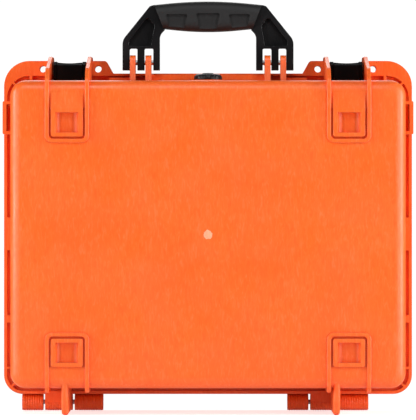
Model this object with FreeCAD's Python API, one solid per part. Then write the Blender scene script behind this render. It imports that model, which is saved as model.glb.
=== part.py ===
"""Hard-shell first aid case: drafted base and lid, seal, compound latches, folding handle, purge valve, foam, supplies.

Frame: +X is the case's width, +Z is up towards the handle, and the base's bottom face looks along -Y. The origin is
on the ground, under the middle of the case, which stands on the fins beside its hinges. All sizes are in millimetres.
"""

import FreeCAD, Part
import math
import os

from FreeCAD import Vector

# ---- shells -------------------------------------------------------------------------------------------------------
rim_half_width = 204.0        # half the rim's width
rim_height = 320.5            # rim from its lower edge to its edge between the latches
lobe_rise = 12.6              # how far the rim stands up beside each latch
lobe_reach_top = 35.9         # a lobe's sloping end from its latch's middle, at its top
lobe_reach_foot = 42.9        # and at its foot
rim_corner_top = 25.5         # corner radius beside the latches
rim_corner_low = 19.0         # and beside the hinges
rim_depth = 9.0               # depth of each half's rim
rim_web = 3.5                 # thickness of the base rim behind its channel
seal_web = 2.2                # lid rim left behind the seal's groove
rim_lip = 3.2                 # thickness of the rim's outer lip
rim_lip_top = 2.4             # the same along the top
rim_overhang = 8.5            # rim beyond the wall, at the sides
rim_overhang_ends = 7.5       # and at the top and bottom
base_depth = 100.0            # parting plane to the bottom face
lid_depth = 44.3              # parting plane to the lid's face
parting_gap = 0.3             # gap between the two rims when shut
wall = 4.0
draft = math.radians(1.5)
corner_radius = 15.0
edge_radius = 11.0
inner_corner_radius = 11.0
inner_edge_radius = 7.0

# ---- stacking pads and their rails ---------------------------------------------------------------------------------
pad_rise = 2.2                # pad above the face
rail_rise = 2.1               # rail above the face
pad_half_width = 15.6
pad_half_height = 13.8
pad_corner = 2.2
socket_half_width = 11.2
socket_half_height = 9.8
socket_depth = 6.0            # from the pad's face
socket_clearance = 0.8        # between a peg and its socket, all round
pad_from_top = 43.7           # pads' middles from the top wall
pad_from_bottom = 37.4        # and from the bottom wall
pad_gap = 2.0                 # groove between pad and rail
pad_groove_depth = 1.4        # groove below the face
rail_width = 3.9
rail_round = 0.8              # rounding along the rails
socket_round = 5.2            # rounding beside the socket's floor
peg_rise = 3.5                # stacking peg above the lid's face
peg_round = 3.0               # rounding round a peg's end
latch_from_side = 66.5        # each latch's middle from the rim's side

# ---- latch guards --------------------------------------------------------------------------------------------------
guard_rise = 16.5             # guard ribs beside the latches above the rim
notch_drop = 1.5              # rim between the guard ribs below the rest of it
padlock_radius = 3.4
padlock_offset = 27.6         # hole from the latch's middle
padlock_rise = 4.5            # hole above the rim

# ---- hinge ---------------------------------------------------------------------------------------------------------
hinge_from_left = 18.0        # left end of the left hinge from the rim's left side
hinge_from_right = 43.5       # right end of the right hinge from the rim's right side
knuckle_radius = 8.2
knuckle_ground_gap = 0.5      # knuckles above the ground
knuckle_rim_gap = 0.1         # knuckles below the rims
lid_knuckle_a = 21.0          # widths of the knuckles, left to right
base_knuckle = 27.5
lid_knuckle_b = 28.5
knuckle_gap = 2.0
hinge_pin_radius = 2.3
running_clearance = 0.05
foot_offset = 46.2            # a base fin's middle from the hinge's left end
foot_half_width = 3.4
foot_front = 12.0             # from the face to the start of the fin's flat
lid_foot_offset = 66.75

# ---- carrying handle -----------------------------------------------------------------------------------------------
handle_back = 24.0            # handle axis in front of the parting plane
handle_axis_rise = 10.1       # handle axis above the rim
handle_pin_radius = 2.4
prong_spans = ((47.9, 54.4), (63.2, 70.2), (78.0, 85.0))
ear_spans = ((56.3, 62.2), (72.0, 77.6))
ear_radius = 7.4
prong_half_depth = 6.6
prong_drop = 7.5              # prongs below the handle axis
slot_rise = 14.2              # top of the slots between them above the axis
grip_half_depth = 13.5
grip_recess = 2.6             # depth of the finger recesses
grip_core_half = 7.0
handle_web = 3.4

# ---- purge valve ---------------------------------------------------------------------------------------------------
valve_back = 40.0             # valve axis in front of the parting plane
valve_boss_radius = 16.0
valve_boss_drop = 0.2         # boss below the outside of the top wall at the rim
valve_knob_radius = 14.0
valve_knob_rise = 6.6
valve_bore = 7.0
valve_stem_radius = 3.0
valve_bush_length = 12.8
valve_lift = 1.6              # how far the knob rises as it is undone
valve_clip = 1.2              # thickness of the clip that keeps the stem in the bush

# ---- side strap loops ----------------------------------------------------------------------------------------------
loop_from_rim = 28.8          # loop's top below the rim's top
loop_height = 32.6
loop_reach = 45.0             # loop's front edge from the parting plane
loop_inset = 0.6              # outer bar in from the rim's side
loop_bar = 3.8                # thickness of the outer bar
loop_wall = 3.0
loop_bar_depth = 24.0         # depth of the outer bar, front to back

# ---- latches -------------------------------------------------------------------------------------------------------
latch_guard_gap = 1.7         # between a latch and the guard ribs beside it
cheek = 3.2
lever_side_clearance = 0.4
latch_axis_back = 17.0        # clasp pin behind the parting plane, on the lid
latch_axis_rise = 1.7         # and above the rim
latch_pin_radius = 2.0
clasp_end_radius = 6.5
clasp_rise = 11.1             # top of the clasp above the rim
clasp_plate = 3.5
clasp_over_rim = 0.4          # clasp's underside above the rim
latch_drop = 7.4              # lower edge of the tab and cheeks below the rim
clasp_reach = 31.0            # front end of the clasp from the parting plane
lever_axis_front = 17.0
lever_axis_rise = 4.9
lever_boss = 5.2
lever_pin_radius = 1.6
lever_reach = 35.0
lever_plate = 3.5
lever_dish = 0.9              # hollow across the tab's top
nose_gap = 0.3                # cam nose to the rim it bears on

# ---- seal ----------------------------------------------------------------------------------------------------------
groove_inner = 10.5           # groove's inner and outer edge, in from the rim's edge
groove_outer = 5.5
groove_depth = 4.2
gasket_side_gap = 0.2
seal_gap = 0.1                # between the tongue and the seal when shut
tongue_inset = 1.3            # tongue edge in from the groove's edge
tongue_rise = 1.4

# ---- foam and supplies ---------------------------------------------------------------------------------------------
foam_gap = 0.5
foam_margin = 5.2             # foam inside the cavity's wall at the floor
foam_top = 20.0               # base foam below the parting plane
foam_corner = 12.0
foam_relief = 0.8             # foam clear of what stands out of the floor
pocket_depth = 52.0
item_gap = 1.0                # supplies inside their pockets
lid_foam_top = 6.0            # lid foam behind the parting plane
roll_radius = 26.0
roll_length = 46.0
roll_spacing = 57.0
tape_radius = 24.0
tape_core = 12.0
tape_width = 25.0

# ---- places worked out from the sizes ------------------------------------------------------------------------------
knuckle_height = knuckle_ground_gap + knuckle_radius
rim_low = knuckle_height + knuckle_radius + knuckle_rim_gap
case_depth = pad_rise + base_depth + lid_depth + peg_rise
y_pads = -case_depth / 2
y_face = y_pads + pad_rise
y_part = y_face + base_depth
y_lid = y_part + parting_gap
y_lid_face = y_part + lid_depth
rim_high = rim_low + rim_height
lobe_top = rim_high + lobe_rise
lid_rim_web = groove_depth + seal_web
wall_half_width = rim_half_width - rim_overhang
wall_low = rim_low + rim_overhang_ends
wall_high = rim_high - rim_overhang_ends
sides = (-1, 1)

latch_x = rim_half_width - latch_from_side
lobe_inner_top = latch_x - lobe_reach_top
lobe_inner_foot = latch_x - lobe_reach_foot
pad_height_top = wall_high - pad_from_top
pad_height_low = wall_low + pad_from_bottom
rail_inner = pad_half_width + pad_gap
rail_outer = rail_inner + rail_width
guard_top = rim_high + guard_rise
notch_height = rim_high - notch_drop
padlock_height = rim_high + padlock_rise

hinge_length = lid_knuckle_a + base_knuckle + lid_knuckle_b + 2 * knuckle_gap
hinge_lefts = (-rim_half_width + hinge_from_left, rim_half_width - hinge_from_right - hinge_length)

handle_y = y_part - handle_back
handle_axis_height = rim_high + handle_axis_rise
prong_foot = handle_axis_height - prong_drop
slot_top = handle_axis_height + slot_rise

valve_y = y_part - valve_back
valve_boss_top = wall_high - valve_boss_drop
valve_bush_low = valve_boss_top - valve_bush_length
valve_clip_low = valve_bush_low - valve_lift - valve_clip - 0.6
valve_deep = valve_clip_low - 10

loop_bar_outer = rim_half_width - loop_inset
loop_high = rim_high - loop_from_rim
loop_low = loop_high - loop_height

latch_half_width = rail_inner - latch_guard_gap
latch_y = y_part + latch_axis_back
latch_axis_height = rim_high + latch_axis_rise
clasp_top = rim_high + clasp_rise
clasp_under = rim_high + clasp_over_rim
latch_foot = rim_high - latch_drop
lever_y = y_part - lever_axis_front
lever_axis_height = rim_high + lever_axis_rise
gasket_thickness = groove_depth - tongue_rise + parting_gap - seal_gap


# ---- shape helpers -------------------------------------------------------------------------------------------------
def block(x0, x1, y0, y1, z0, z1):
    """A box between two corners."""
    return Part.makeBox(x1 - x0, y1 - y0, z1 - z0, Vector(x0, y0, z0))


def rod(start, axis, radius, length):
    """A cylinder from a point along an axis."""
    return Part.makeCylinder(radius, length, Vector(*start), Vector(*axis))


def joined(shapes):
    """One solid from several that overlap."""
    first, *rest = shapes
    return first.fuse(rest).removeSplitter() if rest else first


def rounded_path(points, radii):
    """A closed 2-D outline as 3-D edges in the XY plane, each corner rounded by its radius."""
    count = len(points)
    entry, leave, middle = [], [], []
    for i, (corner, radius) in enumerate(zip(points, radii)):
        here = Vector(corner[0], corner[1], 0)
        before = Vector(*points[i - 1], 0) - here
        after = Vector(*points[(i + 1) % count], 0) - here
        before.normalize()
        after.normalize()
        half = before.getAngle(after) / 2
        cut = radius / math.tan(half) if radius else 0.0
        entry.append(here + before * cut)
        leave.append(here + after * cut)
        bisector = before + after
        bisector.normalize()
        middle.append(here + bisector * (radius / math.sin(half) - radius) if radius else here)
    edges = []
    for i in range(count):
        if radii[i]:
            edges.append(Part.Arc(entry[i], middle[i], leave[i]).toShape())
        following = entry[(i + 1) % count]
        if leave[i].distanceToPoint(following) > 1e-6:
            edges.append(Part.LineSegment(leave[i], following).toShape())
    return Part.Wire(edges)


def plate_xz(points, radii, y0, y1):
    """An outline drawn in X and Z, extruded from y0 to y1."""
    face = Part.Face(rounded_path(points, radii))
    face.rotate(Vector(0, 0, 0), Vector(1, 0, 0), 90)
    face.translate(Vector(0, y0, 0))
    return face.extrude(Vector(0, y1 - y0, 0))


def plate_yz(points, radii, x0, x1):
    """An outline drawn in Y and Z, extruded from x0 to x1."""
    face = Part.Face(rounded_path(points, radii))
    face.rotate(Vector(0, 0, 0), Vector(1, 1, 1), 120)
    face.translate(Vector(x0, 0, 0))
    return face.extrude(Vector(x1 - x0, 0, 0))


def rounded_slab(x0, x1, z0, z1, radius, y0, y1, radius_top=None):
    """A rectangle with rounded corners in X and Z, extruded from y0 to y1."""
    top = radius if radius_top is None else radius_top
    return plate_xz([(x0, z0), (x1, z0), (x1, z1), (x0, z1)], [radius, radius, top, top], y0, y1)


def rim_slab(inset, inset_top, y0, y1):
    """A plate that follows the rim's edge at a distance inside it."""
    return rounded_slab(
        -rim_half_width + inset, rim_half_width - inset, rim_low + inset, rim_high - inset_top,
        rim_corner_low - inset, y0, y1, rim_corner_top - inset,
    )


def ring_slab(inset_outer, inset_inner, y0, y1):
    """A frame that follows the rim, between two distances in from the rim's edge."""
    return rim_slab(inset_outer, inset_outer, y0, y1).cut(rim_slab(inset_inner, inset_inner, y0, y1))


def drafted_tub(y_open, y_closed, inset, corner, edge):
    """A solid tub, wider at y_open, with its long corners and the edges of its closed face rounded."""
    reach = abs(y_closed - y_open) * math.tan(draft)
    open_box = (-wall_half_width + inset, wall_half_width - inset, wall_low + inset, wall_high - inset)
    shut_box = (open_box[0] + reach, open_box[1] - reach, open_box[2] + reach, open_box[3] - reach)
    low, high = (shut_box, open_box) if y_closed < y_open else (open_box, shut_box)
    tub = Part.makeWedge(
        low[0], min(y_open, y_closed), low[2], high[2], high[0],
        low[1], max(y_open, y_closed), low[3], high[3], high[1],
    )
    slanted = [e for e in tub.Edges if abs(e.Vertexes[0].Y - e.Vertexes[1].Y) > 1]
    tub = tub.makeFillet(corner, slanted)
    closed = [e for e in tub.Edges if all(abs(v.Y - y_closed) < 1e-3 for v in e.Vertexes)]
    return tub.makeFillet(edge, closed)


# ---- rim: the flange with its channel, lobes and padlock holes -----------------------------------------------------
def rim_outline():
    """Corner points and radii of the rim, with a raised lobe round each latch."""
    points = [
        (-rim_half_width, rim_low), (rim_half_width, rim_low), (rim_half_width, lobe_top),
        (lobe_inner_top, lobe_top), (lobe_inner_foot, rim_high),
        (-lobe_inner_foot, rim_high), (-lobe_inner_top, lobe_top), (-rim_half_width, lobe_top),
    ]
    radii = [rim_corner_low, rim_corner_low, rim_corner_top, 4, 1, 1, 4, rim_corner_top]
    return points, radii


def rim(y0, y1, channel_y0, channel_y1):
    """The rim between y0 and y1, with its channel open between channel_y0 and channel_y1."""
    body = plate_xz(*rim_outline(), y0, y1)
    body = body.cut(rim_slab(rim_lip, rim_lip_top, channel_y0, channel_y1))
    return body.cut([
        block(s * latch_x - rail_inner, s * latch_x + rail_inner, y0 - 1, y1 + 1, notch_height, lobe_top + 1)
        for s in sides
    ])


def padlock_drills(y0, y1):
    """Cylinders that drill the padlock holes beside each latch."""
    return [
        rod((s * latch_x + t * padlock_offset, y0, padlock_height), (0, 1, 0), padlock_radius, y1 - y0)
        for s in sides
        for t in sides
    ]


def channel_ribs(y0, y1):
    """Ribs that tie the rim's lip to the wall, across the channel."""
    reach = rim_half_width - 1
    made = []
    for up, height in ((143.5, 33.0), (71.3, 7.6), (24.9, 2.4)):
        for x0, x1 in ((-reach, -wall_half_width + 3), (wall_half_width - 3, reach)):
            made.append(block(x0, x1, y0, y1, rim_low + up, rim_low + up + height))
    for s in sides:
        x = s * (rim_half_width - 27)
        made.append(block(x - 1.4, x + 1.4, y0, y1, wall_high - 3, rim_high - 1))
    for s in sides:
        for z, angle, radius in (
            (rim_low + rim_corner_low, 135, rim_corner_low), (rim_high - rim_corner_top, 45, rim_corner_top),
        ):
            strut = block(-1.1, 1.1, y0, y1, radius - rim_overhang - 4, radius - 1)
            strut.rotate(Vector(0, 0, 0), Vector(0, 1, 0), angle * s)
            strut.translate(Vector(s * (rim_half_width - radius), 0, z))
            made.append(strut)
    return made


# ---- base shell ----------------------------------------------------------------------------------------------------
def stacking_pad(s, height, end):
    """(rail, groove, pad, socket, backing) of one stacking pad; end is +1 where the rail opens upwards, else -1."""
    x = s * latch_x
    root = y_face + wall
    open_end = height + end * pad_half_height

    def bracket(half, stop, corner, y0, y1):
        """A rectangle rounded at its closed end only, which reaches the pad's open end."""
        z0, z1 = sorted((height - end * stop, open_end))
        radii = [corner, corner, 0, 0] if end > 0 else [0, 0, corner, corner]
        return plate_xz([(x - half, z0), (x + half, z0), (x + half, z1), (x - half, z1)], radii, y0, y1)

    rail = bracket(rail_outer, pad_half_height + pad_gap + rail_width, 7, y_face - rail_rise, root)
    groove = bracket(rail_inner, pad_half_height + pad_gap, 3.5, y_pads - 1, y_face + pad_groove_depth)

    def slab(half_x, half_z, corner, y0, y1):
        """A rounded slab about the pad's middle."""
        return rounded_slab(x - half_x, x + half_x, height - half_z, height + half_z, corner, y0, y1)

    rail = rounded_front(rail.cut(groove))
    pad = slab(pad_half_width, pad_half_height, pad_corner, y_pads, root)
    socket = block(x - socket_half_width, x + socket_half_width, y_pads - 1, y_pads + socket_depth,
                   height - socket_half_height, height + socket_half_height)
    floor = [
        e for e in socket.Edges
        if abs(e.CenterOfMass.y - y_pads - socket_depth) < 0.01 and e.BoundBox.ZLength > socket_half_height
    ]
    socket = socket.makeFillet(socket_round, floor)
    backing = slab(pad_half_width, pad_half_height, pad_corner, y_pads + socket_depth,
                   y_pads + socket_depth + wall)
    return rail, groove, pad, socket, backing


def rounded_front(rail):
    """Rounds a rail's long edges where it stands out of the face."""
    edges = [
        e for e in rail.Edges
        if abs(e.CenterOfMass.y - y_face + rail_rise) < 0.01 and e.BoundBox.YLength < 0.01 and not (
            e.BoundBox.ZLength < 0.01 and e.BoundBox.XLength < rail_width + 0.01
        )
    ]
    return rail.makeFillet(rail_round, edges)


def pad_ramp(s):
    """The slope between the guard ribs, from a top pad up to the face's rounded edge."""
    foot = pad_height_top + pad_half_height
    head = wall_high - edge_radius - 1
    points = [
        (y_pads, foot - 2), (y_pads, foot), (y_face + 0.3, head), (y_face + wall, head), (y_face + wall, foot - 2),
    ]
    x = s * latch_x
    return plate_yz(points, [0] * 5, x - pad_half_width, x + pad_half_width)


def guard_pair(points, radii):
    """Four ribs of one outline, one on each side of both latches or hinges."""
    made = []
    for s in sides:
        for t in sides:
            x = s * latch_x + t * (rail_inner + rail_width / 2)
            rib = plate_yz(points, radii, x - rail_width / 2, x + rail_width / 2)
            front = [
                e for e in rib.Edges
                if e.BoundBox.XLength < 0.01 and abs(e.BoundBox.YMin - y_face + rail_rise) < 0.05
                and e.BoundBox.ZLength > 5 and e.BoundBox.YLength < 1
            ]
            made.append(rib.makeFillet(rail_round, front))
    return made


def latch_guards():
    """Ribs that run from the face over the edge and up beside each latch."""
    foot = pad_height_top + pad_half_height
    points = [
        (y_face - rail_rise, foot), (y_face + wall, foot), (y_part - 12, wall_high - 8), (y_part, wall_high - 8),
        (y_part, guard_top), (y_part - 18, guard_top), (y_part - 34, guard_top - 3.5),
        (y_face + 12, wall_high + 10), (y_face - rail_rise, wall_high - 2),
    ]
    return guard_pair(points, [0, 0, 0, 0, 0, 6, 12, 10, 9])


def hinge_guards():
    """The rails' legs on the hinge side, from the face round to the bottom wall."""
    foot = pad_height_low - pad_half_height
    points = [
        (y_face - rail_rise, foot), (y_face - rail_rise, wall_low - 1.8), (y_face + 40, wall_low - 1.8),
        (y_face + 46, wall_low + 4), (y_face + wall, foot),
    ]
    return guard_pair(points, [0, 9, 3, 0, 0])


def standing_fin(x, y_outer, y_inner):
    """A fin under the shell that the case stands on, from near the face to the hinge."""
    end = 1 if y_inner > y_outer else -1
    points = [
        (y_outer + end * 1.2, wall_low + 12), (y_outer + end * 3.2, 14), (y_outer + end * foot_front, 0),
        (y_inner - end * 16, 0), (y_inner - end * 3, rim_low - 5.5), (y_inner - end * 4, wall_low - 1),
        (y_outer + end * 20, wall_low + 5),
    ]
    radii = [0, 16, 9, 6, 4, 0, 0]
    fin = plate_yz(points, radii, x - foot_half_width, x + foot_half_width)
    rim_edges = [
        e for e in fin.Edges
        if abs(e.BoundBox.XLength) < 1e-6 and e.CenterOfMass.z < 20
        and (e.CenterOfMass.y - y_inner) * end < -16
    ]
    return fin.makeFillet(foot_half_width * 0.85, rim_edges)


def knuckle(x0, width, y_side, y_far, bore):
    """A hinge barrel with the arm that joins it to a rim on one side of the parting plane."""
    barrel = rod((x0, y_part, knuckle_height), (1, 0, 0), knuckle_radius, width)
    arm = block(x0, x0 + width, min(y_side, y_far), max(y_side, y_far), knuckle_height, rim_low + 3)
    return joined([barrel, arm]), rod((x0 - 1, y_part, knuckle_height), (1, 0, 0), bore, width + 2)


def handle_ears():
    """The four lugs that hold the handle's pins."""
    made = []
    for s in sides:
        for near, far in ear_spans:
            x0, x1 = sorted((s * near, s * far))
            points = [
                (handle_y - 15, wall_high - 5), (handle_y + 12, wall_high - 5),
                (handle_y + ear_radius, handle_axis_height + ear_radius),
                (handle_y - ear_radius, handle_axis_height + ear_radius),
            ]
            made.append(plate_yz(points, [0, 0, ear_radius - 0.8, ear_radius - 0.8], x0, x1))
    return made


def top_panels():
    """Raised lands on the top wall behind the valve and beside the ears, and the valve's boss."""
    inner, outer = ear_spans[0][0], ear_spans[1][1]
    front = valve_y + valve_knob_radius + 3
    low = wall_high - 5
    made = [block(-inner, inner, front, y_part - 4, low, rim_high - 1.9)]
    for s in sides:
        x0, x1 = sorted((s * outer, s * (lobe_inner_foot + 4)))
        made.append(block(x0, x1, front, y_part - 4, low, rim_high - 4.7))
    made.append(rod((0, valve_y, low - 3), (0, 0, 1), valve_boss_radius, valve_boss_top - low + 3))
    return made


def strap_loop(s):
    """A loop for a shoulder strap on one side wall: two cheeks and an outer bar."""
    front, back = y_part - loop_reach, y_part - rim_depth + 1
    x_wall = s * (wall_half_width - 6)
    x_out = s * loop_bar_outer
    x0, x1 = sorted((x_wall, x_out))
    bar0, bar1 = sorted((x_out, s * (loop_bar_outer - loop_bar)))
    loop = joined([
        block(x0, x1, front, back, loop_low, loop_low + loop_wall),
        block(x0, x1, front, back, loop_high - loop_wall, loop_high),
        block(bar0, bar1, front, front + loop_bar_depth, loop_low, loop_high),
    ])
    edges = [
        e for e in loop.Edges
        if abs(e.CenterOfMass.x - x_out) < 0.1 and e.BoundBox.YLength > 5
    ]
    return loop.makeFillet(1.2, edges)


def base_shell():
    """The base, in one moulding."""
    shell = joined([
        rim(y_part - rim_depth, y_part, y_part - rim_depth - 1, y_part - rim_web),
        drafted_tub(y_part, y_face, 0, corner_radius, edge_radius),
    ])
    rails, wells, pads, sockets, backs = zip(*[
        stacking_pad(s, height, end)
        for s in sides
        for height, end in ((pad_height_top, 1), (pad_height_low, -1))
    ])
    shell = shell.fuse(list(rails)).cut(list(wells))
    shell = shell.fuse(latch_guards() + hinge_guards() + [pad_ramp(s) for s in sides]).fuse(list(pads))
    shell = shell.fuse(channel_ribs(y_part - rim_depth, y_part - rim_web + 1))
    shell = shell.fuse(handle_ears() + top_panels() + [strap_loop(s) for s in sides])
    fins, bores = [], []
    for left in hinge_lefts:
        barrel, bore = knuckle(
            left + lid_knuckle_a + knuckle_gap, base_knuckle, y_part - rim_depth, y_part - 0.6, hinge_pin_radius
        )
        fins += [barrel, standing_fin(left + foot_offset, y_face, y_part)]
        bores.append(bore)
    shell = shell.fuse(fins).cut(bores + list(sockets))
    cavity = drafted_tub(y_part + 1, y_face + wall, wall, inner_corner_radius, inner_edge_radius)
    shell = shell.cut(cavity).fuse(list(backs))
    shell = shell.fuse(ring_slab(groove_outer + tongue_inset, groove_inner - tongue_inset, y_part - 1,
                                 y_part + tongue_rise))
    drills = padlock_drills(y_part - rim_depth - 1, y_part + 1)
    drills += [
        rod((min(s * 30, s * 150), handle_y, handle_axis_height), (1, 0, 0), handle_pin_radius, 120)
        for s in sides
    ]
    drills.append(rod((0, valve_y, valve_deep), (0, 0, 1), valve_bore, 60))
    return shell.cut(drills).removeSplitter()


# ---- lid shell -----------------------------------------------------------------------------------------------------
def lid_guards():
    """Ribs on the lid that carry each clasp's pin."""
    points = [
        (y_lid, wall_high - 8), (y_lid, guard_top), (y_part + 21, guard_top), (y_lid_face - 5, rim_high + 0.5),
        (y_lid_face - 2, wall_high - 6), (y_lid_face - 6, wall_high - 8),
    ]
    radii = [0, 0, 8, 12, 3, 0]
    return [
        plate_yz(points, radii, s * latch_x + t * (rail_inner + rail_width / 2) - rail_width / 2,
                 s * latch_x + t * (rail_inner + rail_width / 2) + rail_width / 2)
        for s in sides
        for t in sides
    ]


def stacking_pegs():
    """Square pegs on the lid that fit the sockets of a case stacked on it."""
    half_x = socket_half_width - socket_clearance
    half_z = socket_half_height - socket_clearance
    made = []
    for s in sides:
        for height in (pad_height_top, pad_height_low):
            peg = rounded_slab(
                s * latch_x - half_x, s * latch_x + half_x, height - half_z, height + half_z, peg_round + 0.5,
                y_lid_face - 2, y_lid_face + peg_rise,
            )
            rims = [e for e in peg.Edges if abs(e.CenterOfMass.y - y_lid_face - peg_rise) < 0.05]
            made.append(peg.makeFillet(peg_round, rims))
    return made


def lid_bands():
    """Two raised bands down the lid and a raised frame for a label between them."""
    middle = (rim_low + rim_high) / 2
    made = []
    for s in sides:
        made.append(rounded_slab(s * 96 - 9, s * 96 + 9, rim_low + 42, rim_high - 42, 6,
                                 y_lid_face - 2, y_lid_face + 2.0))
    frame = rounded_slab(-72, 72, middle - 48, middle + 48, 8, y_lid_face - 2, y_lid_face + 1.6)
    return made + [frame.cut(rounded_slab(-68, 68, middle - 44, middle + 44, 5, y_lid_face, y_lid_face + 3))]


def lid_shell():
    """The lid, in one moulding."""
    shell = joined([
        rim(y_lid, y_lid + rim_depth, y_lid + lid_rim_web, y_lid + rim_depth + 1),
        drafted_tub(y_lid, y_lid_face, 0, corner_radius, edge_radius),
    ])
    shell = shell.fuse(lid_guards() + stacking_pegs() + lid_bands())
    shell = shell.fuse(channel_ribs(y_lid + lid_rim_web - 1, y_lid + rim_depth))
    fins, bores = [], []
    for left in hinge_lefts:
        for x0, width in (
            (left, lid_knuckle_a),
            (left + lid_knuckle_a + base_knuckle + 2 * knuckle_gap, lid_knuckle_b),
        ):
            barrel, bore = knuckle(
                x0, width, y_lid + 0.3, y_lid + rim_depth, hinge_pin_radius + running_clearance
            )
            fins.append(barrel)
            bores.append(bore)
        fins.append(standing_fin(left + lid_foot_offset, y_lid_face, y_part))
    shell = shell.fuse(fins).cut(bores)
    cavity = drafted_tub(y_lid - 1, y_lid_face - wall, wall, inner_corner_radius, inner_edge_radius)
    shell = shell.cut(cavity)
    shell = shell.cut(ring_slab(groove_outer, groove_inner, y_lid - 1, y_lid + groove_depth))
    drills = padlock_drills(y_lid - 1, y_lid + rim_depth + 1)
    drills += [
        rod((s * latch_x - rail_outer - 1, latch_y, latch_axis_height), (1, 0, 0), latch_pin_radius,
            2 * rail_outer + 2)
        for s in sides
    ]
    return shell.cut(drills).removeSplitter()


def gasket():
    """The rubber seal in the lid's groove."""
    return ring_slab(
        groove_outer + gasket_side_gap, groove_inner - gasket_side_gap,
        y_lid + groove_depth - gasket_thickness, y_lid + groove_depth,
    )


# ---- latches -------------------------------------------------------------------------------------------------------
def clasp(s):
    """The outer half of a latch: two cheeks on the lid's pin, bridged over the rims."""
    front = y_part - clasp_reach
    points = [
        (latch_y + clasp_end_radius, latch_axis_height - clasp_end_radius),
        (latch_y + clasp_end_radius, clasp_top - 1),
        (latch_y - 4, clasp_top), (front, clasp_top), (front, latch_foot),
        (y_part - rim_depth - 4.5, latch_foot), (y_part - rim_depth - 4.5, clasp_under),
        (latch_y - clasp_end_radius, clasp_under), (latch_y - clasp_end_radius, latch_axis_height - clasp_end_radius),
    ]
    radii = [6.2, 5, 0, 4, 3, 2, 2, 0, 4]
    x = s * latch_x
    cheeks = [
        plate_yz(points, radii, x + t * (latch_half_width - cheek / 2) - cheek / 2,
                 x + t * (latch_half_width - cheek / 2) + cheek / 2)
        for t in sides
    ]
    bridge = block(
        x - latch_half_width + 1, x + latch_half_width - 1,
        lever_y + lever_boss + 0.6, latch_y + 2, lever_axis_height + lever_boss - clasp_plate,
        lever_axis_height + lever_boss,
    )
    body = joined(cheeks + [bridge])
    return body.cut([
        rod((x - rail_outer, latch_y, latch_axis_height), (1, 0, 0), latch_pin_radius + running_clearance,
            2 * rail_outer),
        rod((x - rail_outer, lever_y, lever_axis_height), (1, 0, 0), lever_pin_radius, 2 * rail_outer),
    ])


def lever(s):
    """The inner half of a latch: a finger tab with a cam nose that bears on the base's rim."""
    front = y_part - lever_reach
    nose = y_part - rim_depth - nose_gap
    top = lever_axis_height + lever_boss
    points = [
        (lever_y + lever_boss, top), (front, top), (front, latch_foot), (front + 3, latch_foot),
        (front + 3.6, top - lever_plate), (lever_y - 4.5, top - lever_plate), (lever_y - 2.5, rim_high - 2.1),
        (nose, rim_high - 3.9), (nose, rim_high - 0.3), (lever_y + lever_boss, lever_axis_height - 2),
    ]
    radii = [5, 3.4, 1.4, 1.4, 3, 1.5, 1.5, 1, 1, 2]
    half = latch_half_width - cheek - lever_side_clearance
    x = s * latch_x
    body = plate_yz(points, radii, x - half, x + half)
    hollow_radius = (half ** 2 + lever_dish ** 2) / (2 * lever_dish)
    return body.cut([
        rod((x - half - 1, lever_y, lever_axis_height), (1, 0, 0), lever_pin_radius + running_clearance,
            2 * half + 2),
        rod((x, front - 1, top - lever_dish + hollow_radius), (0, 1, 0), hollow_radius, lever_reach),
    ])


# ---- handle --------------------------------------------------------------------------------------------------------
def handle_outline():
    """One arm of the handle in X and Z, on the right, from its prongs to the grip."""
    inner, outer = prong_spans[0][0], prong_spans[-1][1]
    axis = handle_axis_height
    points = [
        (inner, prong_foot), (outer, prong_foot), (outer, axis + 22.3), (outer - 27.2, axis + 56.1),
        (inner + 5.5, axis + 57.3), (inner - 4.9, axis + 32.8), (inner, axis + 27.8),
    ]
    return points, [0, 0, 12, 3, 0, 0, 9]


def handle_frame():
    """The moulded core of the handle: two arms with three prongs each, and the bar inside the grip."""
    parts = []
    for s in sides:
        points, radii = handle_outline()
        arm = plate_xz([(s * x, z) for x, z in points], radii, handle_y - prong_half_depth,
                       handle_y + prong_half_depth)
        inner, outer = prong_spans[0][0], prong_spans[-1][1]
        pocket = [
            (inner + 8.6, slot_top + 2), (outer - 6, slot_top + 2), (outer - 6, slot_top + 7.2),
            (outer - 25, slot_top + 31.7), (inner + 5.1, slot_top + 23.2),
        ]
        for y0, y1 in (
            (handle_y - prong_half_depth - 1, handle_y - handle_web / 2),
            (handle_y + handle_web / 2, handle_y + prong_half_depth + 1),
        ):
            arm = arm.cut(plate_xz([(s * x, z) for x, z in pocket], [2, 2, 4, 3, 4], y0, y1))
        for (_, near), (far, _) in zip(prong_spans, prong_spans[1:]):
            x0, x1 = sorted((s * near, s * far))
            low = prong_foot - 5
            arm = arm.cut(plate_xz([(x0, low), (x1, low), (x1, slot_top), (x0, slot_top)], [0, 0, 1.6, 1.6],
                                   handle_y - 20, handle_y + 20))
        parts.append(arm)
    bar = prong_spans[0][0] + 8
    parts.append(block(-bar, bar, handle_y - prong_half_depth, handle_y + prong_half_depth,
                       handle_axis_height + 39.4, handle_axis_height + 52.4))
    frame = joined(parts)
    return frame.cut([
        rod((min(s * 30, s * 150), handle_y, handle_axis_height), (1, 0, 0),
            handle_pin_radius + running_clearance, 120)
        for s in sides
    ])


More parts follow.
